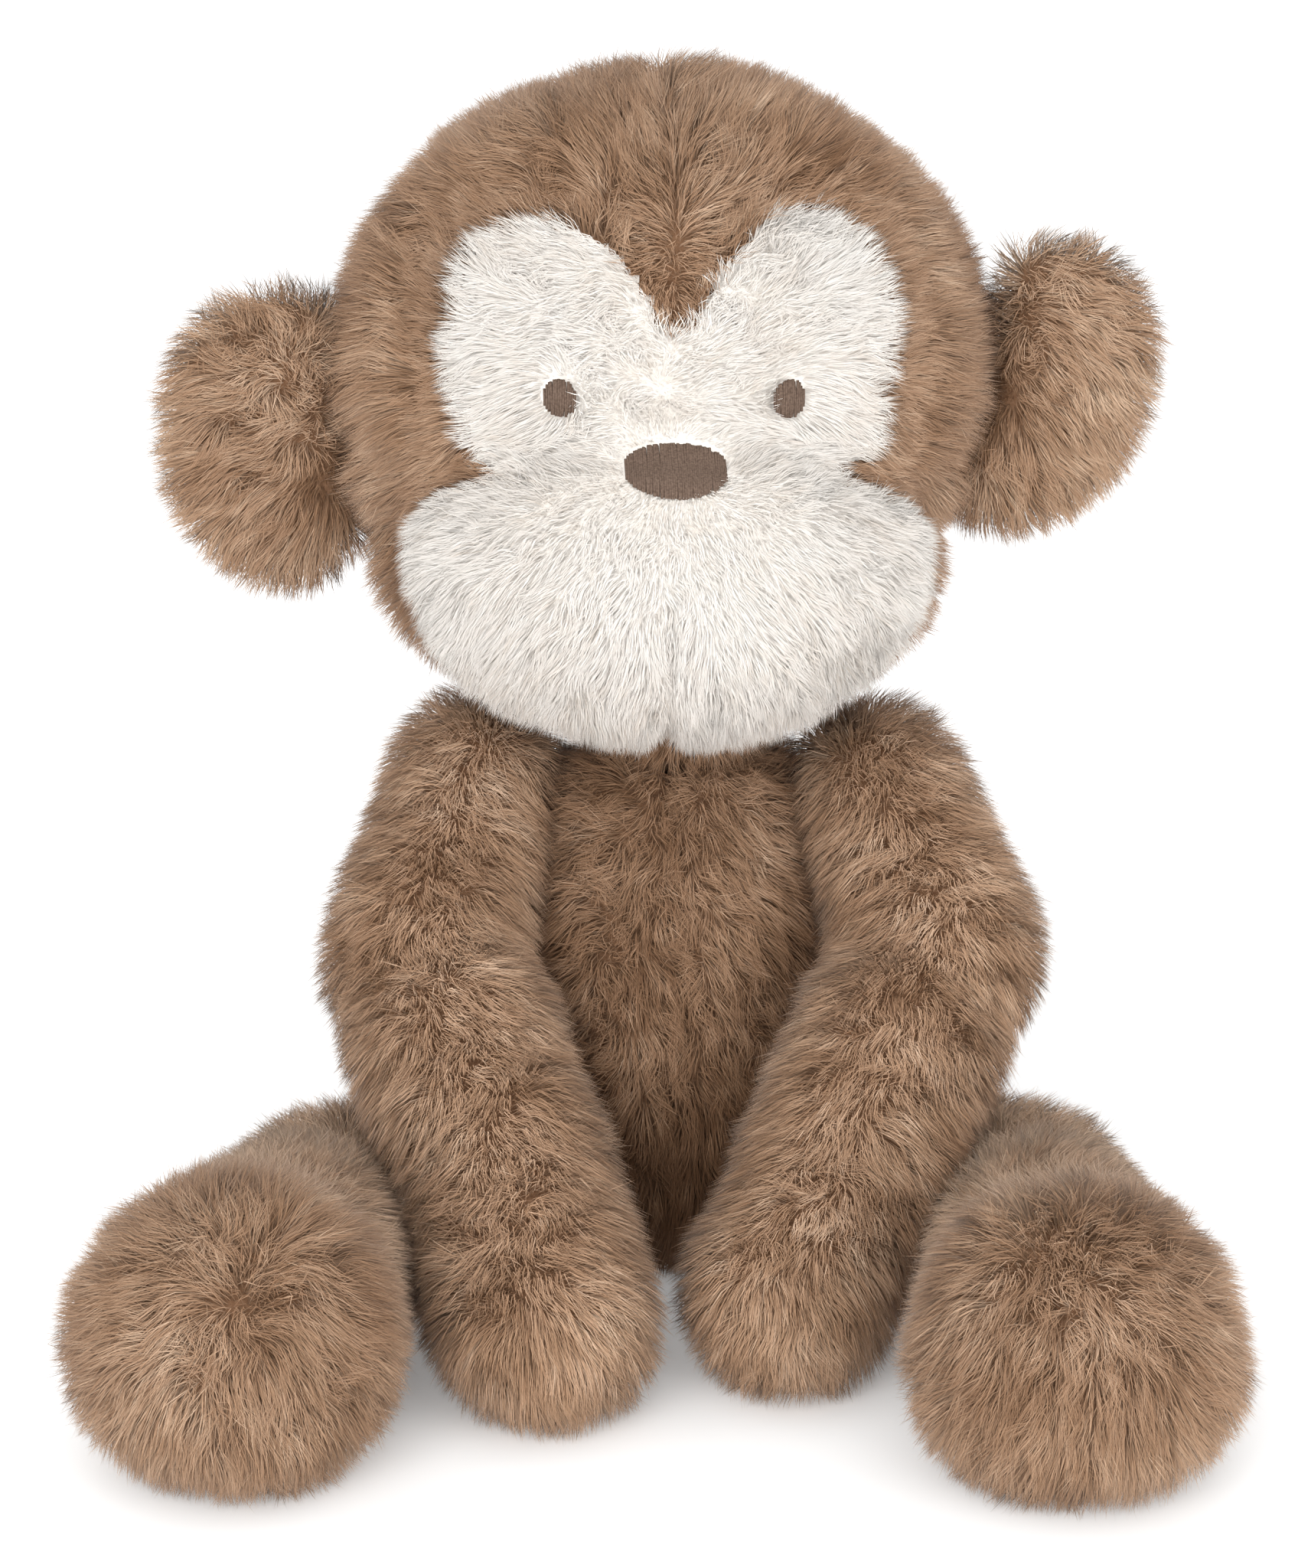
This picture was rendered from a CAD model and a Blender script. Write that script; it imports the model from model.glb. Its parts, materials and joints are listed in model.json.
"""Seated plush monkey: stuffed fur-fabric skins, a pile of real strands, embroidered eyes and nose.

Metres. Every skin is remeshed from its CAD panels, swollen as cloth over its stuffing, and the
strands of the pile grow from it. Directions: -Y is where the face looks, +Z is up.
"""
import json
import math

import bpy
import numpy as np
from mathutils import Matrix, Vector
from mathutils.bvhtree import BVHTree
from mathutils.kdtree import KDTree


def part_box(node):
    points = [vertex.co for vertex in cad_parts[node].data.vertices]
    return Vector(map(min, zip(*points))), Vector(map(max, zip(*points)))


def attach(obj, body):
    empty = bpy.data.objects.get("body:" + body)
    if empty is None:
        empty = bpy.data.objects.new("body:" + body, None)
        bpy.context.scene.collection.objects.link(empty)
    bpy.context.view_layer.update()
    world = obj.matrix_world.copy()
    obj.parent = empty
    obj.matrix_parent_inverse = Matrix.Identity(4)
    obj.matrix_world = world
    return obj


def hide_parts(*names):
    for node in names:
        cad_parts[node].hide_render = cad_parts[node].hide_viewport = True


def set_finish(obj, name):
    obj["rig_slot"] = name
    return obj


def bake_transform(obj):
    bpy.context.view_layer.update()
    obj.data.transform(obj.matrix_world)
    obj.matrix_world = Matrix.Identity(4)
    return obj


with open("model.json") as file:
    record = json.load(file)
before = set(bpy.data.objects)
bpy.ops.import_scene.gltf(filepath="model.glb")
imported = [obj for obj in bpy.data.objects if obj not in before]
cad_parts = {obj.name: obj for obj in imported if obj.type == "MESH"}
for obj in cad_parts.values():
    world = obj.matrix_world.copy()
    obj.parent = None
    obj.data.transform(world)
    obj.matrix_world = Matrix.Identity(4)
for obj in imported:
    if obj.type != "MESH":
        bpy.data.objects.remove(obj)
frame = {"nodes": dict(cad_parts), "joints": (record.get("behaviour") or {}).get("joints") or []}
NODES = frame["nodes"]
JOINTS = {j["name"]: j for j in frame["joints"]}
SIDES = ("left", "right")
MM = 0.001
UP = np.array([0.0, 0.0, 1.0])


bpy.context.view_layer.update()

# ---------------------------------------------------------------- small numpy helpers


def unit(rows):
    return rows / np.maximum(np.linalg.norm(rows, axis=-1, keepdims=True), 1e-12)


def dot(a, b):
    return (a * b).sum(-1, keepdims=True)


def tangent(direction, normal):
    """Direction laid into the surface with that normal."""
    return unit(direction - dot(direction, normal) * normal)


def ripple(points, wavelength, seed, waves=6):
    """Smooth noise, mostly between -1 and 1: sine waves in random directions."""
    rng = np.random.default_rng(seed)
    total = np.zeros(len(points))
    for _ in range(waves):
        way = unit(rng.normal(size=3)) * 2 * math.pi / wavelength * rng.uniform(0.6, 1.5)
        total += np.sin(points @ way + rng.uniform(0, 2 * math.pi))
    return total / math.sqrt(waves)


def ripple3(points, wavelength, seed):
    return np.stack([ripple(points, wavelength, seed + k) for k in range(3)], -1)


def smoothstep(low, high, x):
    t = np.clip((x - low) / (high - low), 0, 1)
    return t * t * (3 - 2 * t)


def bell(x, width):
    return np.exp(-((x / width) ** 2))


# ---------------------------------------------------------------- places taken from the frame


def centre_of(node):
    low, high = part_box(node)
    return (np.array(low) + np.array(high)) / 2


def anchor(joint):
    return np.array(JOINTS[joint]["pos_m"], float)


def node_mesh(names):
    """Vertices and triangles of some CAD nodes, together."""
    all_points, all_faces, first = [], [], 0
    for name in names:
        mesh = NODES[name].data
        mesh.calc_loop_triangles()
        points = np.empty(len(mesh.vertices) * 3, np.float32)
        mesh.vertices.foreach_get("co", points)
        faces = np.empty(len(mesh.loop_triangles) * 3, np.int32)
        mesh.loop_triangles.foreach_get("vertices", faces)
        all_points.append(points.reshape(-1, 3))
        all_faces.append(faces.reshape(-1, 3) + first)
        first += len(mesh.vertices)
    return np.concatenate(all_points).astype(float), np.concatenate(all_faces)


EYES = {name: centre_of(f"eye_{name}") for name in SIDES}
NOSE = centre_of("nose")
FACE_RIGHT = unit(EYES["right"] - EYES["left"])
FACE_FRONT = unit(np.cross(FACE_RIGHT, UP))
HEAD = centre_of("head_stuffing")


# ---------------------------------------------------------------- skins


def add_object(name, mesh):
    made = bpy.data.objects.new(name, mesh)
    bpy.context.scene.collection.objects.link(made)
    return made


def mesh_from(name, points, faces):
    mesh = bpy.data.meshes.new(name)
    mesh.from_pydata(points.tolist(), [], faces.tolist())
    return mesh


def applied(obj):
    """A mesh with obj's modifiers applied."""
    graph = bpy.context.evaluated_depsgraph_get()
    return bpy.data.meshes.new_from_object(obj.evaluated_get(graph))


def points_of(mesh):
    points = np.empty(len(mesh.vertices) * 3, np.float32)
    mesh.vertices.foreach_get("co", points)
    return points.reshape(-1, 3).astype(float)


def normals_of(mesh):
    normals = np.empty(len(mesh.vertices) * 3, np.float32)
    mesh.vertex_normals.foreach_get("vector", normals)
    return normals.reshape(-1, 3).astype(float)


def move_points(mesh, points):
    mesh.vertices.foreach_set("co", points.astype(np.float32).ravel())
    mesh.update()


VOXEL = 3.0 * MM
SMOOTHING = 3  # rounds after a remesh
HARD_SMOOTHING = 6  # rounds after a skin is moved out over its grooves
INSET = 2.0 * MM  # the backing cloth lies this deep under the CAD panel's outer face
CLOSING = 5.0 * MM  # grooves narrower than twice this are bridged where a limb bends
CLOTH_QUALITY = 4  # steps in a frame
CLOTH_MASS = 0.3
PRESSURE = 4
SWELL_FRAMES = 14
SWELL_CAP = 1.6 * MM
LUMPS = [(0.7 * MM, 46 * MM, 11), (0.35 * MM, 19 * MM, 12)]  # height, wavelength and seed
SEAM_DEPTH = 2.1 * MM
FLOOR_GAP = 0.4 * MM


def remeshed(name, mesh, rounds):
    """A mesh rebuilt as one closed surface and smoothed."""
    obj = add_object(name, mesh)
    remesh = obj.modifiers.new("remesh", "REMESH")
    remesh.mode = "VOXEL"
    remesh.voxel_size = VOXEL
    smooth = obj.modifiers.new("smooth", "SMOOTH")
    smooth.factor = 0.5
    smooth.iterations = rounds
    made = applied(obj)
    bpy.data.objects.remove(obj)
    return made


def puffed(mesh, out):
    """The same mesh, moved out along its normals."""
    move_points(mesh, points_of(mesh) + normals_of(mesh) * out)
    return mesh


def shell(name, nodes, inset, closing):
    """One closed skin around some CAD nodes, with the grooves between them bridged."""
    mesh = remeshed(name, mesh_from(name, *node_mesh(nodes)), SMOOTHING)
    if closing:
        mesh = remeshed(name, puffed(mesh, closing), HARD_SMOOTHING)
        mesh = remeshed(name, puffed(mesh, -closing), SMOOTHING)
    return add_object(name, puffed(mesh, -inset))


def swell(obj, pinned):
    """Cloth simulation: the stuffing's pressure swells the skin between its seams."""
    rest = points_of(obj.data)
    group = obj.vertex_groups.new(name="seams")
    for i, held in enumerate(pinned):
        if held > 0.5:
            group.add([i], 1.0, "REPLACE")
    cloth = obj.modifiers.new("cloth", "CLOTH")
    cloth.settings.quality = CLOTH_QUALITY
    cloth.settings.mass = CLOTH_MASS
    cloth.settings.use_pressure = True
    cloth.settings.uniform_pressure_force = PRESSURE
    cloth.settings.effector_weights.gravity = 0
    cloth.settings.vertex_group_mass = group.name
    cloth.collision_settings.use_collision = False
    cloth.point_cache.frame_start = 1
    cloth.point_cache.frame_end = SWELL_FRAMES
    scene = bpy.context.scene
    for step in range(1, SWELL_FRAMES + 1):
        scene.frame_set(step)
    moved = points_of(applied(obj)) - rest
    scene.frame_set(1)
    obj.modifiers.remove(cloth)
    far = np.linalg.norm(moved, axis=1, keepdims=True)
    moved *= np.minimum(1, SWELL_CAP / np.maximum(far, 1e-9))
    move_points(obj.data, rest + moved)


def skin(name, nodes, bodies, seams=None, slot="brown_fur", inset=INSET, closing=0.0):
    """A stuffed skin. seams(points) gives how deep each point is drawn in by a seam, 0 to 1."""
    obj = shell(name, nodes, inset, closing)
    points = points_of(obj.data)
    drawn = seams(points) if seams else np.zeros(len(points))
    swell(obj, drawn)
    points, normals = points_of(obj.data), normals_of(obj.data)
    lumps = sum(height * ripple(points, wavelength, seed) for height, wavelength, seed in LUMPS)
    points += normals * (lumps - SEAM_DEPTH * drawn)[:, None]
    points[:, 2] = np.maximum(points[:, 2], FLOOR_GAP)
    move_points(obj.data, points)
    obj.data.shade_smooth()
    obj["bodies"] = bodies
    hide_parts(*nodes)
    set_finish(obj, slot)
    return obj


# ---------------------------------------------------------------- the pile

WIDTH = 0.20 * MM  # a strand at its root
LEVELS = np.array([0.0, 0.5, 1.0])
TAPER = np.array([1.0, 0.8])
MAX_STRANDS = 60000  # in one piece of pile
DROOP = 0.35  # how far a tip hangs
UNRULY = [(0.5, 7 * MM, 5), (0.3, 40 * MM, 9)]  # turn of the flow, its wavelength and seed step
STRAY = 0.3  # turn of the flow from strand to strand
LENGTH_SPREAD = 0.12
LEAN_SPREAD = 9  # degrees
SHORT_LEAN = 12  # degrees that the shortest strands lie flatter
TIP_SCATTER = 0.16  # of the distance between locks
SHADE_FIELD = 26 * MM  # wavelength of the light and dark areas
ROLL = 55  # degrees that a ribbon turns about itself, at most
BARE = 0.12  # strands shorter than this share of their length don't grow


class Pile:
    """How the pile of one region grows. The functions take root points and normals."""

    def __init__(
        self, flow, length=9.5 * MM, rise=12, lay=52, density=4.3, clump=2.2 * MM, gather=0.36, tuft=0.3,
        frizz=1.0, tone=lambda points: 0.0,
    ):
        self.flow = flow
        self.length = length
        self.rise = rise  # degrees from the surface normal, at the root
        self.lay = lay  # and at the tip
        self.density = density  # strands on a square millimetre
        self.clump = clump  # from lock to lock
        self.gather = gather  # how far the tips of a lock come together
        self.tuft = tuft  # how round a lock is shaded
        self.frizz = frizz  # how unruly the strands are
        self.tone = tone  # how much lighter than the rest, at each root


def scatter(mesh, density, rng):
    """Random roots on a mesh: points, normals, and the triangle and weights to read other values."""
    mesh.calc_loop_triangles()
    corners = np.empty(len(mesh.loop_triangles) * 3, np.int32)
    mesh.loop_triangles.foreach_get("vertices", corners)
    corners = corners.reshape(-1, 3)
    points, normals = points_of(mesh), normals_of(mesh)
    a, b, c = (points[corners[:, k]] for k in range(3))
    area = np.linalg.norm(np.cross(b - a, c - a), axis=1) / 2
    count = int(area.sum() / MM**2 * density)
    ticks = (np.arange(count) + rng.uniform(size=count)) / count
    chosen = corners[np.searchsorted(np.cumsum(area) / area.sum(), ticks).clip(0, len(corners) - 1)]
    r = np.sqrt(rng.uniform(size=count))
    s = rng.uniform(size=count)
    weights = np.stack([1 - r, r * (1 - s), r * s], -1)
    spread = lambda values: (values[chosen] * weights[..., None]).sum(1)
    return spread(points), unit(spread(normals)), spread


def nearest_of(points, centres):
    tree = KDTree(len(centres))
    for i, centre in enumerate(centres):
        tree.insert(centre, i)
    tree.balance()
    return np.array([tree.find(p)[1] for p in points])


def curves(roots, normals, flow, length, rise, lay):
    """Strand points at LEVELS: it leaves its root steeply and bends over along the flow."""
    at = [roots]
    for low, high in zip(LEVELS, LEVELS[1:]):
        share = (low + high) / 2
        lean = np.radians(rise + (lay - rise) * share)[:, None]
        way = unit(normals * np.cos(lean) + flow * np.sin(lean) - UP * DROOP * share)
        at.append(at[-1] + way * (length * (high - low))[:, None])
    return np.stack(at, 1)


def grow(roots, normals, style, seed, shorter=None):
    """Strands for some roots: points of shape (strand, level, 3), a shade and a shading normal each."""
    rng = np.random.default_rng(seed)
    count = len(roots)
    shorter = np.ones(count) if shorter is None else shorter
    keep = rng.permutation(count)[: max(1, int(count * MM**2 / style.density / style.clump**2))]
    home = nearest_of(roots, roots[keep])
    lead = keep[home]

    def shape(spots, axes, short, which):
        size = len(spots)
        noise = sum(ripple3(spots, wavelength, seed + step) * turn for turn, wavelength, step in UNRULY)
        noise = (noise + which.normal(size=(size, 3)) * STRAY) * style.frizz
        flow = tangent(style.flow(spots, axes) + noise, axes)
        length = style.length * short * (1 + LENGTH_SPREAD * which.normal(size=size)).clip(0.6, 1.35)
        rise = style.rise + LEAN_SPREAD * which.normal(size=size)
        lay = style.lay + LEAN_SPREAD * which.normal(size=size) + (1 - short) * SHORT_LEAN
        return curves(spots, axes, flow, length, rise, lay)

    own = shape(roots, normals, shorter, rng)
    leads = shape(roots[keep], normals[keep], shorter[keep], rng)[home]
    pull = style.gather * LEVELS**1.6 * rng.uniform(0.55, 1.15, size=(count, 1))
    scatter_tip = rng.normal(size=(count, 3)) * style.clump * TIP_SCATTER
    target = leads + scatter_tip[:, None, :] * LEVELS[None, :, None]
    own += (target - own) * pull.clip(0, 0.92)[..., None]
    away = (roots - roots[lead]) / style.clump
    shading = unit(normals + style.tuft * away + 0.1 * rng.normal(size=(count, 3)))
    clump_shade = rng.normal(size=len(keep))[home]
    shade = 0.5 + style.tone(roots) + 0.10 * ripple(roots, SHADE_FIELD, seed + 3)
    shade += 0.11 * clump_shade + 0.13 * rng.normal(size=count)
    return own, shade.clip(0.02, 0.98), shading


def ribbons(name, strands, normals, shade, shading, rng):
    """A mesh of tapered ribbons, one for each strand."""
    count = len(strands)
    along = unit(strands[:, 1:] - strands[:, :-1])
    roll = np.radians(rng.uniform(-ROLL, ROLL, size=(count, 1, 1)))
    across = unit(np.cross(along, normals[:, None, :]))
    across = across * np.cos(roll) + np.cross(along, across) * np.sin(roll)
    half = (WIDTH / 2 * rng.uniform(0.75, 1.2, size=(count, 1, 1))) * TAPER[None, :, None]
    levels = len(LEVELS) - 1
    points = np.empty((count, levels * 2 + 1, 3), np.float32)
    points[:, 0:-1:2] = strands[:, :-1] - across * half
    points[:, 1:-1:2] = strands[:, :-1] + across * half
    points[:, -1] = strands[:, -1]
    points[..., 2] = np.maximum(points[..., 2], FLOOR_GAP / 2)
    quads = [[2 * k, 2 * k + 1, 2 * k + 3, 2 * k + 2] for k in range(levels - 1)]
    last = 2 * (levels - 1)
    one = np.array(sum(quads, []) + [last, last + 1, last + 2], np.int32)
    starts_one = np.array([4 * k for k in range(levels)], np.int32)
    per = points.shape[1]
    loops = (one[None, :] + per * np.arange(count, dtype=np.int32)[:, None]).ravel()
    starts = (starts_one[None, :] + len(one) * np.arange(count, dtype=np.int32)[:, None]).ravel()
    mesh = bpy.data.meshes.new(name)
    mesh.vertices.add(count * per)
    mesh.vertices.foreach_set("co", points.ravel())
    mesh.loops.add(len(loops))
    mesh.loops.foreach_set("vertex_index", loops)
    mesh.polygons.add(len(starts))
    mesh.polygons.foreach_set("loop_start", starts)
    mesh.update(calc_edges=True)
    height = np.repeat(LEVELS, 2)[:-1]
    uv = np.empty((count, len(one), 2), np.float32)
    uv[..., 0] = shade[:, None]
    uv[..., 1] = height[one][None, :]
    mesh.uv_layers.new(name="OFBake").data.foreach_set("uv", uv.ravel())
    mesh.shade_smooth()
    segment = np.append(np.repeat(np.arange(levels), 2), levels - 1)
    bend = unit(shading[:, None, :] + 0.15 * along[:, segment])
    mesh.normals_split_custom_set_from_vertices(bend.reshape(-1, 3).tolist())
    return mesh


def plant(obj, stem, style, seed, material, where=None, shorten=None):
    """Grows one region's pile on a skin and hangs it on the skin's bodies."""
    rng = np.random.default_rng(seed)
    roots, normals, spread = scatter(obj.data, style.density, rng)
    keep = np.ones(len(roots), bool) if where is None else where(spread)
    roots, normals = roots[keep], normals[keep]
    short = shorten(roots) if shorten else np.ones(len(roots))
    alive = short > BARE
    roots, normals, short = roots[alive], normals[alive], short[alive]
    strands, shade, shading = grow(roots, normals, style, seed + 1, short)
    pieces = math.ceil(len(roots) / MAX_STRANDS)
    for k in range(pieces):
        pick = slice(k * len(roots) // pieces, (k + 1) * len(roots) // pieces)
        name = f"pile_{stem}_{k + 1}"
        mesh = ribbons(name, strands[pick], normals[pick], shade[pick], shading[pick], rng)
        mesh.materials.append(material)
        piece = add_object(name, mesh)
        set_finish(piece, obj["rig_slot"])
        hang(piece, obj["bodies"])
    return len(roots)


def hang(piece, bodies):
    """Rides on one body, or bends from the first to the second around the joint between them."""
    if isinstance(bodies, str):
        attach(piece, bodies)
        return
    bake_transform(piece)


# ---------------------------------------------------------------- materials


def material(name):
    made = bpy.data.materials.new(name)
    made.use_nodes = True
    nodes, links = made.node_tree.nodes, made.node_tree.links
    return made, nodes, links, nodes["Principled BSDF"]


def srgb(*rgb):
    """Linear colour of an sRGB triple from 0 to 255."""
    shares = [v / 255 for v in rgb]
    return tuple(v / 12.92 if v <= 0.04045 else ((v + 0.055) / 1.055) ** 2.4 for v in shares) + (1.0,)


def ramp(nodes, stops):
    made = nodes.new("ShaderNodeValToRGB")
    elements = made.color_ramp.elements
    while len(elements) < len(stops):
        elements.new(0.5)
    for element, (place, colour) in zip(elements, stops):
        element.position = place
        element.color = colour
    return made


def pile_material(name, shades, root, sheen):
    """Strand colour from its shade and from how far up the strand the point is."""
    made, nodes, links, surface = material(name)
    uv = nodes.new("ShaderNodeUVMap")
    uv.uv_map = "OFBake"
    split = nodes.new("ShaderNodeSeparateXYZ")
    links.new(uv.outputs["UV"], split.inputs["Vector"])
    body = ramp(nodes, shades)
    links.new(split.outputs["X"], body.inputs["Fac"])
    half_way = (2 + root) / 3
    depth = ramp(nodes, [(0.0, (root,) * 3 + (1,)), (0.5, (half_way,) * 3 + (1,)), (1.0, (1, 1, 1, 1))])
    links.new(split.outputs["Y"], depth.inputs["Fac"])
    mix = nodes.new("ShaderNodeMix")
    mix.data_type = "RGBA"
    mix.blend_type = "MULTIPLY"
    mix.inputs["Factor"].default_value = 1
    links.new(body.outputs["Color"], mix.inputs["A"])
    links.new(depth.outputs["Color"], mix.inputs["B"])
    links.new(mix.outputs["Result"], surface.inputs["Base Color"])
    surface.inputs["Roughness"].default_value = 0.7
    surface.inputs["Specular IOR Level"].default_value = 0.25
    surface.inputs["Sheen Weight"].default_value = sheen
    surface.inputs["Sheen Roughness"].default_value = 0.5
    geometry = nodes.new("ShaderNodeNewGeometry")
    sign = nodes.new("ShaderNodeMath")  # 1 on a ribbon's front and -1 on its back
    sign.operation = "MULTIPLY_ADD"
    sign.inputs[1].default_value = -2
    sign.inputs[2].default_value = 1
    outward = nodes.new("ShaderNodeVectorMath")  # the skin's normal, on both sides of the ribbon
    outward.operation = "SCALE"
    links.new(geometry.outputs["Backfacing"], sign.inputs[0])
    links.new(geometry.outputs["Normal"], outward.inputs[0])
    links.new(sign.outputs["Value"], outward.inputs["Scale"])
    links.new(outward.outputs["Vector"], surface.inputs["Normal"])
    return made


def cloth_material(name, dark, light, scale):
    """Woven or knitted backing, thread or stuffing: fine noise between two shades."""
    made, nodes, links, surface = material(name)
    coords = nodes.new("ShaderNodeTexCoord")
    noise = nodes.new("ShaderNodeTexNoise")
    noise.inputs["Scale"].default_value = scale
    noise.inputs["Detail"].default_value = 3
    links.new(coords.outputs["Object"], noise.inputs["Vector"])
    tone = ramp(nodes, [(0.3, dark), (0.7, light)])
    links.new(noise.outputs["Fac"], tone.inputs["Fac"])
    links.new(tone.outputs["Color"], surface.inputs["Base Color"])
    bump = nodes.new("ShaderNodeBump")
    bump.inputs["Strength"].default_value = 0.4
    bump.inputs["Distance"].default_value = 0.3 * MM
    links.new(noise.outputs["Fac"], bump.inputs["Height"])
    links.new(bump.outputs["Normal"], surface.inputs["Normal"])
    surface.inputs["Roughness"].default_value = 0.9
    surface.inputs["Specular IOR Level"].default_value = 0.15
    return made


SHEEN = 0.1
BROWN = pile_material("brown_pile", [
    (0.0, srgb(118, 84, 57)),
    (0.35, srgb(163, 126, 96)),
    (0.65, srgb(189, 152, 122)),
    (1.0, srgb(224, 192, 163)),
], 0.58, SHEEN)
PALER_BROWN = pile_material("paler_brown_pile", [
    (0.0, srgb(134, 99, 71)),
    (0.35, srgb(180, 142, 111)),
    (0.65, srgb(206, 168, 137)),
    (1.0, srgb(238, 206, 177)),
], 0.68, SHEEN)
WHITE = pile_material("white_pile", [
    (0.0, srgb(238, 226, 213)),
    (0.4, srgb(249, 242, 234)),
    (1.0, srgb(253, 249, 243)),
], 0.95, SHEEN)
BROWN_BACKING = cloth_material("brown_backing", srgb(112, 82, 60), srgb(134, 102, 78), 900)
WHITE_BACKING = cloth_material("white_backing", srgb(246, 240, 232), srgb(252, 248, 242), 900)
THREAD = cloth_material("embroidery_thread", srgb(84, 68, 58), srgb(116, 98, 86), 2500)
SEWING = cloth_material("sewing_thread", srgb(88, 66, 50), srgb(120, 94, 74), 2000)

# ---------------------------------------------------------------- where the seams run


def distance_to(names):
    """A function of points: how far each is from some CAD panels."""
    points, faces = node_mesh(names)
    tree = BVHTree.FromPolygons(points.tolist(), faces.tolist())
    return lambda spots: np.array([tree.find_nearest(p)[3] for p in spots])


face_side = lambda points: (points - NOSE) @ FACE_RIGHT
to_brown = distance_to(["head_back", "crown_left", "crown_right"])
to_brow = distance_to(["brow_patch"])
to_muzzle = distance_to(["muzzle_left", "muzzle_right"])
SEAM_WIDTH = 2.6 * MM


def head_seams(points):
    """Brow patch and muzzle edges, the crown's middle seam and the muzzle's middle seam."""
    brown, brow, muzzle = to_brown(points), to_brow(points), to_muzzle(points)
    edge = np.minimum(abs(np.minimum(brow, muzzle) - brown), abs(brow - muzzle))
    middle = bell(face_side(points), SEAM_WIDTH)
    front = points[:, 1] < HEAD[1]
    over = smoothstep(8 * MM, 18 * MM, points[:, 2] - EYES["left"][2])
    under = smoothstep(12 * MM, 24 * MM, NOSE[2] - points[:, 2])
    return np.maximum(0.8 * bell(edge, SEAM_WIDTH), middle * front * np.maximum(over * 0.8, under))


def torso_seams(points):
    """The middle seam, front and back."""
    return 0.8 * bell(points[:, 0], SEAM_WIDTH)


# ---------------------------------------------------------------- which way the pile lies

PARTING = (1.5 * MM, 8 * MM)  # how sharply the pile parts at a middle seam, and how far from it
PEAK_WIDTH = 17 * MM  # the hair of the widow's peak, to either side
HEAD_START = 60 * MM  # the pile of the head leaves the face from this far before its middle
NOSE_LIFT = 4 * MM  # the white pile leaves from this far above or below the middle of the nose


def parting(points, strength):
    """Away from the head's middle seam, close to it."""
    sharp, wide = PARTING
    side = face_side(points)
    return FACE_RIGHT * (strength * np.tanh(side / sharp) * bell(side, wide))[:, None]


def head_flow(points, normals):
    """Away from the face, down over the widow's peak, and down at the back."""
    start = HEAD + FACE_FRONT * HEAD_START - UP * 2 * MM
    flow = unit(points - start)
    peak = bell(face_side(points), PEAK_WIDTH) * smoothstep(-35 * MM, -45 * MM, points[:, 1])
    back = smoothstep(0, 40 * MM, points[:, 1])
    flow = flow - UP * (1.0 * peak + 1.2 * back + 0.35)[:, None] + FACE_RIGHT * 0.3 * peak[:, None]
    return flow + parting(points, 0.9 * (1 - peak))


def brow_flow(points, normals):
    """Up and out from the bridge of the nose."""
    side = face_side(points)
    above = smoothstep(10 * MM, 20 * MM, points[:, 2] - NOSE[2])
    apart = 0.25 + 0.8 * bell(side, 14 * MM) * above
    sideways = FACE_RIGHT * (np.tanh(side / (3 * MM)) * apart)[:, None]
    return unit(points - (NOSE - UP * NOSE_LIFT)) + sideways


def muzzle_flow(points, normals):
    """Out and down from the nose."""
    below = smoothstep(8 * MM, 20 * MM, NOSE[2] - points[:, 2])
    return unit(points - (NOSE + UP * NOSE_LIFT)) - UP * 0.55 + parting(points, 0.7 * below)


def torso_flow(points, normals):
    """Down, and a little to the sides."""
    return -UP + np.stack([points[:, 0] / (60 * MM), 0 * points[:, 0], 0 * points[:, 0]], -1)


def limb_flow(start, joint, end, droop):
    """Along the limb from start through the joint to the end, with some droop."""
    first, second = unit(joint - start), unit(end - joint)

    def flow(points, normals):
        share = smoothstep(-12 * MM, 12 * MM, (points - joint) @ unit(first + second))[:, None]
        return first * (1 - share) + second * share - UP * droop
    return flow


def foot_flow(base, centre, pole_up, reach):
    """Along the leg, then out from the pole on the front of the foot."""
    pole = centre + reach * np.array([0, -math.cos(math.radians(pole_up)), math.sin(math.radians(pole_up))])

    def flow(points, normals):
        near = smoothstep(1.7 * reach, 1.1 * reach, np.linalg.norm(points - centre, axis=1))[:, None]
        out = (points - pole) / (18 * MM)
        out /= np.maximum(1, np.linalg.norm(out, axis=1, keepdims=True))
        return base(points, normals) * (1 - near) + near * (0.6 * out - UP * 0.5)
    return flow


def ear_flow(pit, outward):
    """Out from the tack stitch, away from the head, and down."""
    def flow(points, normals):
        return 0.6 * unit(points - pit) + 0.4 * outward - UP * 0.5
    return flow


# ---------------------------------------------------------------- the head

HEAD_NODES = [
    "head_back", "crown_left", "crown_right", "brow_patch", "muzzle_left", "muzzle_right", "head_stuffing",
    "muzzle_stuffing",
]
head_skin = skin("skin_head", HEAD_NODES, "head", head_seams)
corner = points_of(head_skin.data)
brown_gap, brow_gap, muzzle_gap = to_brown(corner), to_brow(corner), to_muzzle(corner)
brow_lead = muzzle_gap - brow_gap
overlap = np.where(brow_lead > 0, 3.2 * MM, 0.8 * MM)  # the white tips reach this far past their roots
white_lead = brown_gap - np.minimum(brow_gap, muzzle_gap) - overlap
face_corners = [list(p.vertices) for p in head_skin.data.polygons]
head_skin.data.materials.append(BROWN_BACKING)
head_skin.data.materials.append(WHITE_BACKING)
for polygon, corners in zip(head_skin.data.polygons, face_corners):
    polygon.material_index = int(white_lead[corners].mean() > 0)
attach(head_skin, "head")

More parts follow.
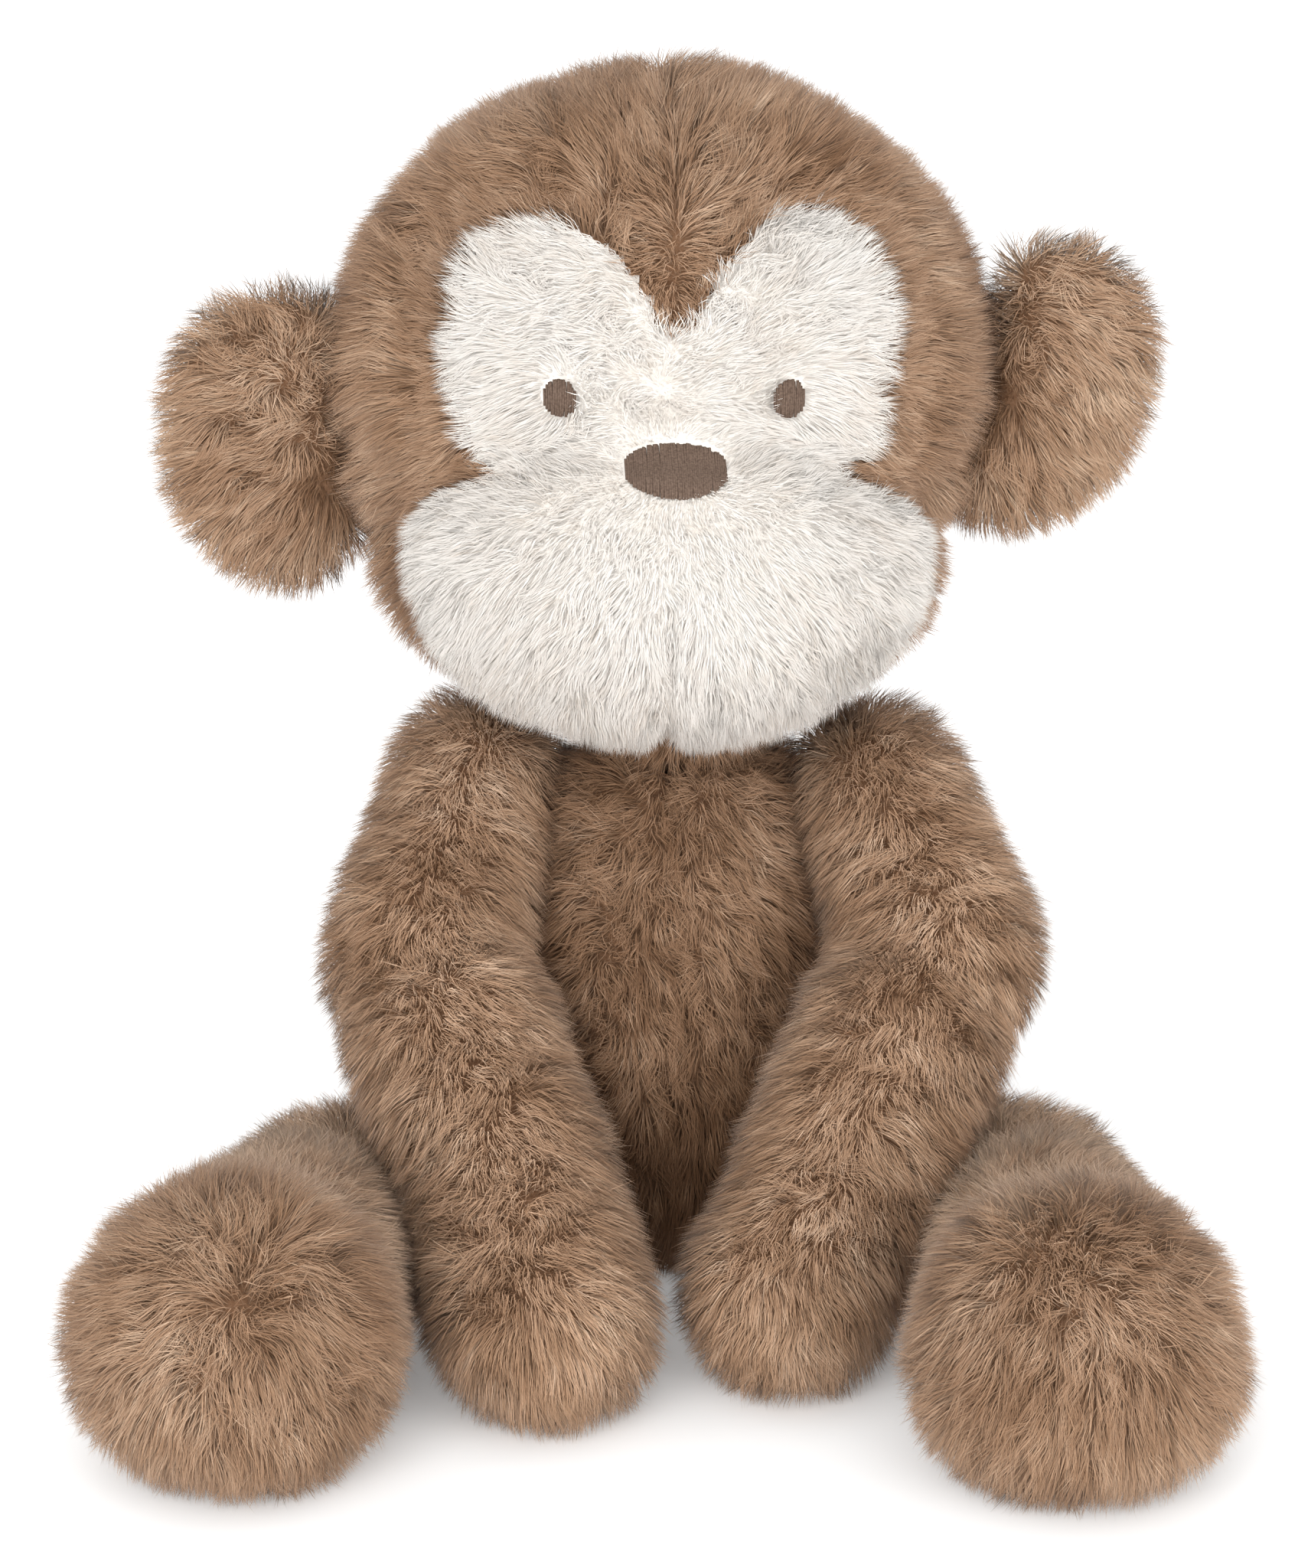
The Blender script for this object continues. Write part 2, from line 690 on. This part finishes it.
EYE_HALF = np.array([3.2, 3.7]) * MM
NOSE_HALF = np.array([10.2, 4.1]) * MM
PATCHES = [(EYES["left"], EYE_HALF), (EYES["right"], EYE_HALF), (NOSE, NOSE_HALF)]
PATCH_REACH = 25 * MM  # how far behind its middle an embroidered oval still counts
FAR = 99


def patch_share(points, centre, half):
    """1 on an embroidered oval's edge, less inside, more outside."""
    offset = points - centre
    flat = np.stack([offset @ FACE_RIGHT / half[0], offset @ UP / half[1]], -1)
    near = (offset @ FACE_FRONT) > -PATCH_REACH
    return np.where(near, np.linalg.norm(flat, axis=1), FAR)


def face_short(points):
    """No pile under the embroidery and short pile around it and along the seams."""
    short = 1 - 0.35 * head_seams(points)
    for centre, half in PATCHES:
        share = patch_share(points, centre, half + 0.1 * MM)
        short *= smoothstep(0.96, 1.0, share) * (0.55 + 0.45 * smoothstep(1.0, 1.7, share))
    return short


def brown_short(points):
    """As face_short, shorter still at the widow's peak and longer where the ears are sewn on."""
    low = smoothstep(26 * MM, 14 * MM, points[:, 2] - EYES["left"][2])
    short = face_short(points) * (1 - 0.45 * bell(face_side(points), 12 * MM) * low)
    for side in SIDES:
        short *= 1 + 0.4 * bell(np.linalg.norm(points - anchor(f"ear_fold_{side}"), axis=1), 24 * MM)
    return short


def parted(flow):
    """The same flow, turned away from the eyes and the nose."""
    def turned(points, normals):
        way = unit(flow(points, normals))
        for centre, half in PATCHES:
            close = 1 - smoothstep(1.2, 2.4, patch_share(points, centre, half + 1.2 * MM))
            way = way + 1.5 * close[:, None] * unit(points - centre)
        return way
    return turned


def head_region(white, above=None):
    """Which roots on the head's skin are white or brown and, if asked, above or below the muzzle's edge."""
    def where(spread):
        found = (spread(white_lead[:, None])[:, 0] > 0) == white
        return found if above is None else found & ((spread(brow_lead[:, None])[:, 0] > 0) == above)
    return where


BROW_PILE = Pile(parted(brow_flow), 6.6 * MM, 10, 44, 4.8, gather=0.25, tuft=0.08, frizz=1.3)
MUZZLE_PILE = Pile(parted(muzzle_flow), 6.0 * MM, 9, 40, 4.8, gather=0.22, tuft=0.08, frizz=1.5)
total = plant(
    head_skin, "head_brown", Pile(head_flow), 100, BROWN, where=head_region(False), shorten=brown_short,
)
total += plant(
    head_skin, "brow", BROW_PILE, 200, WHITE, where=head_region(True, True), shorten=face_short,
)
total += plant(
    head_skin, "muzzle", MUZZLE_PILE, 300, WHITE, where=head_region(True, False), shorten=face_short,
)

# ---------------------------------------------------------------- the torso
TORSO_NODES = [
    "seat_panel", "torso_back_right", "torso_back_left", "torso_front_right", "torso_front_left",
    "seat_pouch", "seat_pellets", "torso_stuffing",
]
torso_skin = skin("skin_torso", TORSO_NODES, "torso", torso_seams)
torso_skin.data.materials.append(BROWN_BACKING)
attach(torso_skin, "torso")


def torso_tone(points):
    """Darker than the limbs, and darkest in the lap."""
    lap = smoothstep(62 * MM, 15 * MM, points[:, 2]) * smoothstep(-5 * MM, -20 * MM, points[:, 1])
    return -0.15 - 0.4 * lap


TORSO_PILE = Pile(torso_flow, 9 * MM, 10, 46, frizz=1.8, tone=torso_tone)
total += plant(torso_skin, "torso", TORSO_PILE, 400, BROWN)

# ---------------------------------------------------------------- the neck
neck_skin = skin("skin_neck", ["neck_stuffing"], "neck", inset=-1.0 * MM)
neck_skin.data.materials.append(BROWN_BACKING)
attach(neck_skin, "neck")
total += plant(neck_skin, "neck", Pile(torso_flow, 6.5 * MM), 450, BROWN)


# ---------------------------------------------------------------- ears, arms and legs
EAR_INSET = 1.0 * MM
ARM_INSET = 0.3 * MM
LEG_INSET = 1.2 * MM
PIT_WIDTH = 6 * MM
ELBOW_REACH = 15 * MM  # a limb bends over this far to either side of its joint
KNEE_REACH = 14 * MM
FOOT_POLE = {"left": 40, "right": 72}  # where the pile of a foot parts, in degrees above level
FOOT_REACH = 27 * MM  # from the middle of a foot to that place
SPREAD = 0.13  # how much wider a foot is where it rests on the floor


def sagged(leg_skin, foot):
    """The foot spreads where the weight of its pellets presses it on the floor."""
    points = points_of(leg_skin.data)
    offset = points - foot
    low = smoothstep(12 * MM, -22 * MM, offset[:, 2])
    near = smoothstep(40 * MM, 30 * MM, np.linalg.norm(offset, axis=1))
    points[:, :2] += offset[:, :2] * (SPREAD * low * near)[:, None]
    move_points(leg_skin.data, points)


def make_ear(side, seed):
    nodes = [f"ear_back_{side}", f"ear_front_{side}", f"ear_batting_{side}", f"ear_tack_{side}"]
    ear_skin = skin(f"skin_ear_{side}", nodes, f"ear_{side}", inset=EAR_INSET)
    ear_skin.data.materials.append(BROWN_BACKING)
    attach(ear_skin, f"ear_{side}")
    tack = centre_of(f"ear_tack_{side}")
    tree = BVHTree.FromObject(ear_skin, bpy.context.evaluated_depsgraph_get())
    pit = np.array(tree.ray_cast(Vector(tack - [0, 50 * MM, 0]), Vector((0, 1, 0)))[0] or tack)
    outward = unit((centre_of(f"ear_front_{side}") - HEAD) * np.array([1.0, 0.0, 0.0]))

    def in_pit(points):
        return bell(np.linalg.norm(points - pit, axis=1), PIT_WIDTH)

    def tone(points):
        return 0.14 - 0.6 * in_pit(points)

    def short(points):
        return 1 - 0.7 * in_pit(points)

    style = Pile(ear_flow(pit, outward), 8.4 * MM, frizz=1.3, tone=tone)
    return plant(ear_skin, f"ear_{side}", style, seed, BROWN, shorten=short)


def set_bend(start, centre, end, reach):
    """How far the bend of a limb reaches up and down it from the joint."""
    unit(centre - start) * reach
    unit(end - centre) * reach


def make_arm(side, seed):
    shoulder, elbow = anchor(f"shoulder_swing_{side}"), anchor(f"elbow_bend_{side}")
    hand = centre_of(f"forearm_stuffing_{side}")
    set_bend(shoulder, elbow, hand, ELBOW_REACH)
    parts, kinds = ("arm", "forearm"), ("outer", "inner", "stuffing")
    nodes = [f"{part}_{kind}_{side}" for part in parts for kind in kinds]
    bodies = [f"upper_arm_{side}", f"forearm_{side}"]
    arm_skin = skin(f"skin_arm_{side}", nodes, bodies, inset=ARM_INSET, closing=CLOSING)
    arm_skin.data.materials.append(BROWN_BACKING)
    style = Pile(limb_flow(shoulder, elbow, hand, 0.5), frizz=1.4)
    count = plant(arm_skin, f"arm_{side}", style, seed, PALER_BROWN)
    hang(arm_skin, bodies)
    return count


def make_leg(side, seed):
    hip, knee = anchor(f"hip_swing_{side}"), anchor(f"knee_bend_{side}")
    foot = centre_of(f"foot_pellets_{side}") + UP * 6 * MM
    set_bend(hip, knee, foot, KNEE_REACH)
    nodes = [f"thigh_{kind}_{side}" for kind in ("outer", "inner", "stuffing")]
    nodes += [f"{part}_{side}" for part in ("shin", "sole", "foot_upper", "foot_pellets", "shin_stuffing")]
    bodies = [f"thigh_{side}", f"lower_leg_{side}"]
    leg_skin = skin(f"skin_leg_{side}", nodes, bodies, inset=LEG_INSET, closing=1.6 * CLOSING)
    leg_skin.data.materials.append(BROWN_BACKING)
    sagged(leg_skin, foot)

    def tone(points):
        return 0.03 + 0.3 * smoothstep(0, 25 * MM, points[:, 1] - foot[1])

    flow = foot_flow(limb_flow(hip, knee, foot, 0.4), foot, FOOT_POLE[side], FOOT_REACH)
    count = plant(leg_skin, f"leg_{side}", Pile(flow, frizz=1.5, tone=tone), seed, BROWN)
    hang(leg_skin, bodies)
    return count


for number, side in enumerate(SIDES):
    total += make_ear(side, 500 + 10 * number)
    total += make_arm(side, 600 + 10 * number)
    total += make_leg(side, 700 + 10 * number)

# ---------------------------------------------------------------- embroidery and what stays from the CAD


THREAD_RADIUS = 0.30 * MM
THREAD_PITCH = THREAD_RADIUS * 1.45
SATIN_SEED = 31
EYE_BULGE = 1.5 * MM
NOSE_BULGE = 2.0 * MM


def satin(name, centre, half, bulge, seed):
    """Satin stitch: upright threads side by side over an oval, arched over their padding."""
    rng = np.random.default_rng(seed)
    thread, sides, steps = THREAD_RADIUS, 6, 9
    points, faces = [], []
    columns = int(2 * half[0] / THREAD_PITCH)
    tree = BVHTree.FromObject(head_skin, bpy.context.evaluated_depsgraph_get())
    for column in range(columns):
        x = (2 * (column + 0.5) / columns - 1) * 0.96
        tall = math.sqrt(1 - x * x)
        start = len(points)
        shift = rng.normal() * 0.12 * MM
        for step in range(steps):
            y = (2 * step / (steps - 1) - 1) * tall
            out = bulge * math.sqrt(max(0.0, 1 - 0.92 * (x * x + y * y)))
            spot = centre + FACE_RIGHT * (x * half[0] + shift * y) + UP * (y * half[1] + shift)
            hit = tree.ray_cast(Vector(spot + FACE_FRONT * 30 * MM), Vector(-FACE_FRONT))[0]
            base = np.array(hit) + FACE_FRONT * (INSET + out)
            for k in range(sides):
                turn = 2 * math.pi * k / sides
                points.append(base + thread * (FACE_RIGHT * math.cos(turn) + FACE_FRONT * math.sin(turn)))
        for step in range(steps - 1):
            for k in range(sides):
                low, high = start + step * sides, start + (step + 1) * sides
                faces.append([low + k, low + (k + 1) % sides, high + (k + 1) % sides, high + k])
    made = add_object(name, mesh_from(name, np.array(points), np.array(faces)))
    made.data.shade_smooth()
    made.data.materials.append(THREAD)
    return made


for piece, node, centre, half, bulge in (
    ("satin_eye_left", "eye_left", EYES["left"], EYE_HALF, EYE_BULGE),
    ("satin_eye_right", "eye_right", EYES["right"], EYE_HALF, EYE_BULGE),
    ("satin_nose", "nose", NOSE, NOSE_HALF, NOSE_BULGE),
):
    stitches = satin(piece, centre, half, bulge, SATIN_SEED)
    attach(stitches, "head")
    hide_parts(node)
    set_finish(stitches, "brown_thread")

CARRIED = {
    "back_closing_stitches": SEWING, "neck_seam_thread": SEWING,
    "hip_knot_left": SEWING, "hip_knot_right": SEWING,
}
for name, finish in CARRIED.items():
    NODES[name].data.materials.clear()
    NODES[name].data.materials.append(finish)

# ---------------------------------------------------------------- stage, light and camera
FLOOR_HALF = 3.0
PALE = (0.93, 0.93, 0.93, 1)
LIFT = 0.2  # keeps the floor as pale as the background
corners = FLOOR_HALF * np.array([[-1, -1, 0], [1, -1, 0], [1, 1, 0], [-1, 1, 0]])
floor = add_object("floor", mesh_from("floor", corners, np.array([[0, 1, 2, 3]])))
pale, _, _, surface = material("pale_floor")
surface.inputs["Base Color"].default_value = PALE
surface.inputs["Roughness"].default_value = 0.9
surface.inputs["Emission Color"].default_value = (1, 1, 1, 1)
surface.inputs["Emission Strength"].default_value = LIFT
floor.data.materials.append(pale)

world = bpy.data.worlds.new("studio")
bpy.context.scene.world = world
world.use_nodes = True
world.node_tree.nodes["Background"].inputs["Color"].default_value = (1, 1, 1, 1)
world.node_tree.nodes["Background"].inputs["Strength"].default_value = 1.0


def softbox(name, place, target, wide, watts):
    light = bpy.data.lights.new(name, "AREA")
    light.shape = "SQUARE"
    light.size = wide
    light.energy = watts
    made = add_object(name, light)
    made.location = place
    made.rotation_euler = (Vector(target) - Vector(place)).to_track_quat("-Z", "Y").to_euler()


TARGET = Vector((-0.0055, -0.025, 0.104))
softbox("key", (-0.5, -1.5, 0.8), TARGET, 1.0, 15)
softbox("fill", (0.9, -1.1, 0.35), TARGET, 0.9, 7)

ELEVATION = math.radians(19)
DISTANCE = 1.0
SENSOR = 36
LENS = 112.7
camera = add_object("camera", bpy.data.cameras.new("camera"))
back = Vector((0, -math.cos(ELEVATION), math.sin(ELEVATION)))
camera.location = TARGET + back * DISTANCE
camera.rotation_euler = (-back).to_track_quat("-Z", "Y").to_euler()
camera.data.sensor_width = SENSOR
camera.data.lens = LENS
bpy.context.scene.camera = camera
bpy.context.scene.view_settings.view_transform = "Standard"

print("strands:", total)
